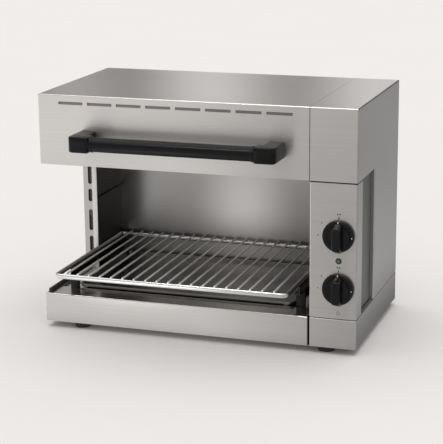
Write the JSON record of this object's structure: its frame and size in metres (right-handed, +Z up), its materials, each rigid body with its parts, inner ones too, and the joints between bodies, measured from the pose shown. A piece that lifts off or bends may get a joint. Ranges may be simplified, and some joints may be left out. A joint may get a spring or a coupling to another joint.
{
  "type": "salamander grill",
  "caption": "Rise-and-fall electric salamander grill: a heated hood on a rear lift over a wire rack, with side controls and a drip tray.",
  "frame": {"origin": "on the bench under the centre of the bounding box, with the handle and cable gland counted", "axes": "+X to the user's right, +Y to the back, +Z up"},
  "size_m": [0.6, 0.412, 0.445],
  "materials": {
    "brushed_stainless": "satin, brushed along the panels",
    "dull_stainless": "dull mill finish",
    "dark_stainless": "heat-darkened, satin",
    "bright_reflector": "bright, rolled",
    "wire_chrome": "polished, slightly worn",
    "steel_screws": "zinc plated",
    "black_grip": "satin black, heat-resistant",
    "black_knob": "semi-gloss black",
    "black_rubber": "matt",
    "nylon": "moulded",
    "lamp_green": "translucent green lens",
    "element_sheath": "oxidised heater sheath",
    "mineral_wool": "fibrous",
    "spring_enamel": "black enamel",
    "spring_chrome": "ground and plated"
  },
  "bodies": {
    "stand": {"base_pan": "brushed_stainless", "control_base": "brushed_stainless", "base_floor": "dull_stainless", "feet": "black_rubber", "foot_screws": "steel_screws", "edge_strip": "black_rubber", "left_post": "brushed_stainless", "right_post": "brushed_stainless", "left_stop_pad": "black_rubber", "right_stop_pad": "black_rubber", "left_liner": "dark_stainless", "right_liner": "dark_stainless", "control_wall": "dull_stainless", "back_panel": "brushed_stainless", "left_runner": "dark_stainless", "right_runner": "dark_stainless", "runner_feet": "black_rubber", "tray_rails": "dull_stainless", "control_panel": "brushed_stainless", "control_housing": "dull_stainless", "upper_regulator": "nylon", "lower_regulator": "nylon", "lamp_lens": "lamp_green", "lamp_holder": "nylon", "terminal_block": "nylon", "cable_gland": "nylon", "gas_spring_body": "spring_enamel", "spring_bracket_lower": "dull_stainless", "spring_pin_lower": "steel_screws"},
    "hood": {"hood_shell": "brushed_stainless", "hood_cheek": "brushed_stainless", "rear_skirt": "dull_stainless", "hood_floor": "dull_stainless", "vent_baffle": "dull_stainless", "reflector": "bright_reflector", "front_element": "element_sheath", "rear_element": "element_sheath", "element_brackets": "bright_reflector", "insulation": "mineral_wool", "left_lift_rail": "dull_stainless", "right_lift_rail": "dull_stainless", "left_glide_sleeves": "nylon", "right_glide_sleeves": "nylon", "lift_yoke": "dull_stainless", "yoke_bolts": "steel_screws", "gas_spring_rod": "spring_chrome", "spring_bracket_upper": "dull_stainless", "spring_pin_upper": "steel_screws", "handle_grip": "black_grip", "handle_bracket_left": "black_grip", "handle_bracket_right": "black_grip", "handle_screws": "steel_screws"},
    "rack": {"rack": "wire_chrome"},
    "tray": {"drip_tray": "dark_stainless"},
    "upper_knob": {"upper_knob": "black_knob", "upper_spindle": "steel_screws"},
    "lower_knob": {"lower_knob": "black_knob", "lower_spindle": "steel_screws"}
  },
  "joints": [
    {"name": "hood_lift", "type": "slide", "parent": "stand", "child": "hood", "axis": [0, 0, 1], "range_m": [0, 0.12]},
    {"name": "rack_slide", "type": "slide", "parent": "stand", "child": "rack", "axis": [0, -1, 0], "range_m": [0, 0.2]},
    {"name": "tray_slide", "type": "slide", "parent": "stand", "child": "tray", "axis": [0, -1, 0], "range_m": [0, 0.24]},
    {"name": "upper_knob_turn", "type": "hinge", "parent": "stand", "child": "upper_knob", "pos_m": [0.267, -0.144, 0.219], "axis": [0, 1, 0], "range_deg": [0, 270]},
    {"name": "lower_knob_turn", "type": "hinge", "parent": "stand", "child": "lower_knob", "pos_m": [0.267, -0.144, 0.1225], "axis": [0, 1, 0], "range_deg": [0, 270]}
  ]
}
